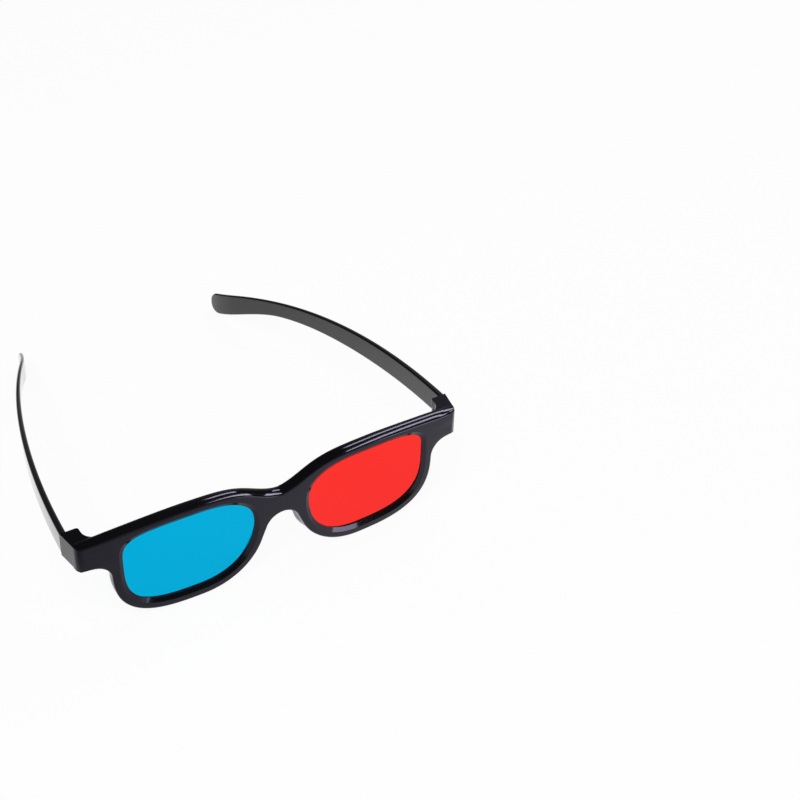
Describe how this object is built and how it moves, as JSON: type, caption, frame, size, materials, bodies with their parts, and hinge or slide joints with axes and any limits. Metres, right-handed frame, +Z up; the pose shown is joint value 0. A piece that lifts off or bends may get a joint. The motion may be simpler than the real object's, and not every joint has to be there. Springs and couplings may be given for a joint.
{
  "type": "3d glasses",
  "caption": "Two-colour 3D viewing glasses: a moulded black plastic front with a red and a cyan filter lens and two curved temples that fold on steel pins.",
  "frame": {"origin": "on the table, under the middle of the box round the open glasses, on their middle plane", "axes": "the glasses look along -Y, the wearer's left is +X and the wearer's right is -X, +Z is up from the table they stand on"},
  "size_m": [0.1512, 0.141, 0.04],
  "materials": {
    "front_plastic": "gloss moulded black",
    "temple_plastic": "satin gloss moulded black",
    "cyan_filter": "clear polished cyan",
    "red_filter": "clear polished red",
    "pin_steel": "bright drawn wire"
  },
  "bodies": {
    "front": {"front_frame": "front_plastic", "right_lens": "cyan_filter", "left_lens": "red_filter", "right_hinge_pin": "pin_steel", "left_hinge_pin": "pin_steel"},
    "left_temple": {"left_temple": "temple_plastic"},
    "right_temple": {"right_temple": "temple_plastic"}
  },
  "joints": [
    {"name": "left_temple_fold", "type": "hinge", "parent": "front", "child": "left_temple", "pos_m": [0.07115, -0.05632, 0.03252], "axis": [0, 0.033, 0.9995], "range_deg": [-2.3, 76]},
    {"name": "right_temple_fold", "type": "hinge", "parent": "front", "child": "right_temple", "pos_m": [-0.07115, -0.05632, 0.03252], "axis": [0, -0.033, -0.9995], "range_deg": [-2.7, 68]}
  ]
}
